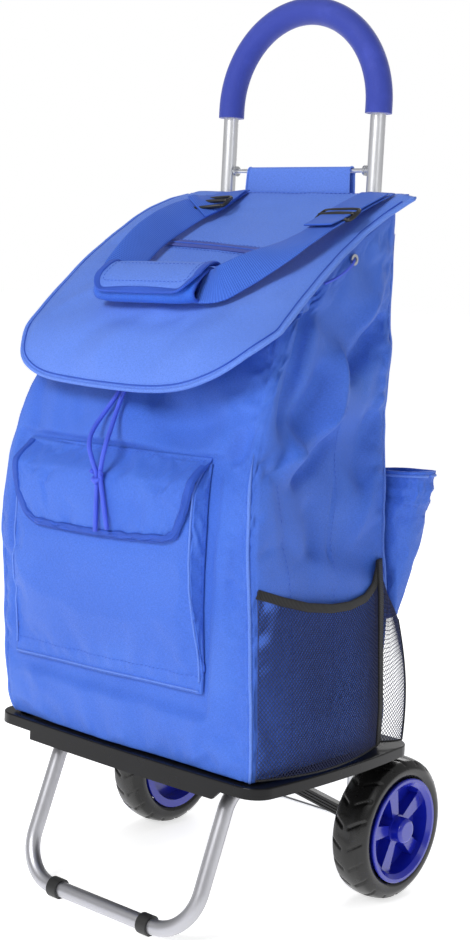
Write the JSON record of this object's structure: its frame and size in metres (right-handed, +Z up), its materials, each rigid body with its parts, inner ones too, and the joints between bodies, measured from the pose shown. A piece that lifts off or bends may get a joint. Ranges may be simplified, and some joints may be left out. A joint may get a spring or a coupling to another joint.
{
  "type": "folding shopping trolley",
  "caption": "Two-wheeled folding shopping trolley: arched tube handle, fabric bag with sloping lid flap and pockets, flat tray deck and a hinged U-shaped front leg.",
  "frame": {"origin": "on the ground, in the middle of the footprint between the front foot and the backs of the tyres", "axes": "+X to the right seen from the front, -Y to the front, +Z up along the handle tubes"},
  "size_m": [0.38, 0.3578, 0.943],
  "materials": {
    "steel_tube": "satin silver finish on round tube",
    "steel_plate": "zinc plated sheet and bar",
    "fastener": "zinc plated",
    "foam": "closed cell foam, blue",
    "deck_plastic": "fine moulded grain, black",
    "black_plastic": "smooth black",
    "rim_plastic": "glossy deep blue",
    "tyre_rubber": "moulded tread, black",
    "nylon": "natural nylon",
    "cap_rubber": "black",
    "bag_fabric": "coated polyester weave, bright blue",
    "mesh_fabric": "open diamond net",
    "webbing": "ribbed webbing",
    "cord_braid": "braided cord"
  },
  "bodies": {
    "frame": {"handle_tube": "steel_tube", "foam_grip": "foam", "cross_rod": "steel_tube", "rod_flanges": "fastener", "base_beam": "steel_plate", "wheel_post_left": "steel_plate", "wheel_post_right": "steel_plate", "post_nuts": "fastener", "brace_left": "black_plastic", "brace_right": "black_plastic", "centre_hanger": "black_plastic", "tie_rod": "steel_tube", "fold_pin_left": "fastener", "fold_pin_right": "fastener", "bag_body": "bag_fabric", "front_pocket": "bag_fabric", "mesh_pocket": "mesh_fabric", "back_pocket": "bag_fabric", "hanger_loop": "bag_fabric", "drawstring_left": "cord_braid", "drawstring_right": "cord_braid", "drawstring_knot": "cord_braid", "eyelet_loop": "cord_braid", "side_eyelet": "fastener"},
    "deck": {"deck_tray": "deck_plastic", "deck_lug_left": "steel_plate", "deck_lug_right": "steel_plate", "lug_screws": "fastener", "leg_bracket_left": "steel_plate", "leg_bracket_right": "steel_plate", "leg_pins": "fastener"},
    "leg": {"front_leg": "steel_tube", "foot_caps": "cap_rubber"},
    "carrier_left": {"wheel_bracket_left": "steel_plate", "axle_left": "fastener", "axle_spacer_left": "nylon", "push_nut_left": "fastener"},
    "carrier_right": {"wheel_bracket_right": "steel_plate", "axle_right": "fastener", "axle_spacer_right": "nylon", "push_nut_right": "fastener"},
    "wheel_left": {"wheel_rim_left": "rim_plastic", "tyre_left": "tyre_rubber", "hub_bush_left": "nylon", "hub_cap_left": "rim_plastic"},
    "wheel_right": {"wheel_rim_right": "rim_plastic", "tyre_right": "tyre_rubber", "hub_bush_right": "nylon", "hub_cap_right": "rim_plastic"},
    "lid_flap": {"lid": "bag_fabric", "carry_strap_left": "webbing", "carry_strap_right": "webbing", "strap_pad": "bag_fabric", "strap_buckles": "black_plastic"},
    "pocket_cover": {"pocket_flap": "bag_fabric"}
  },
  "joints": [
    {"name": "deck_fold", "type": "hinge", "parent": "frame", "child": "deck", "pos_m": [0, 0.087, 0.188], "axis": [1, 0, 0], "range_deg": [-90, 0], "deforming": ["bag_body", "front_pocket", "mesh_pocket", "back_pocket", "drawstring_left", "drawstring_right", "drawstring_knot", "eyelet_loop", "side_eyelet"]},
    {"name": "leg_fold", "type": "hinge", "parent": "deck", "child": "leg", "pos_m": [0, -0.083, 0.15], "axis": [1, 0, 0], "range_deg": [0, 111]},
    {"name": "wheel_fold_left", "type": "hinge", "parent": "frame", "child": "carrier_left", "pos_m": [-0.122, 0.092, 0.1], "axis": [0, 0, 1], "range_deg": [-90, 0]},
    {"name": "wheel_fold_right", "type": "hinge", "parent": "frame", "child": "carrier_right", "pos_m": [0.122, 0.092, 0.1], "axis": [0, 0, 1], "range_deg": [0, 90]},
    {"name": "wheel_spin_left", "type": "hinge", "parent": "carrier_left", "child": "wheel_left", "pos_m": [-0.1595, 0.099, 0.076], "axis": [1, 0, 0], "continuous": true},
    {"name": "wheel_spin_right", "type": "hinge", "parent": "carrier_right", "child": "wheel_right", "pos_m": [0.1595, 0.099, 0.076], "axis": [1, 0, 0], "continuous": true},
    {"name": "lid_open", "type": "hinge", "parent": "frame", "child": "lid_flap", "pos_m": [0, 0.076, 0.738], "axis": [1, 0, 0], "range_deg": [-95, 0]},
    {"name": "pocket_open", "type": "hinge", "parent": "frame", "child": "pocket_cover", "pos_m": [-0.02, -0.1695, 0.474], "axis": [1, 0, 0], "range_deg": [-120, 0]}
  ],
  "couplings": [
    {"joint": "wheel_fold_left", "follows": "deck_fold", "ratio": 1},
    {"joint": "wheel_fold_right", "follows": "deck_fold", "ratio": -1}
  ]
}
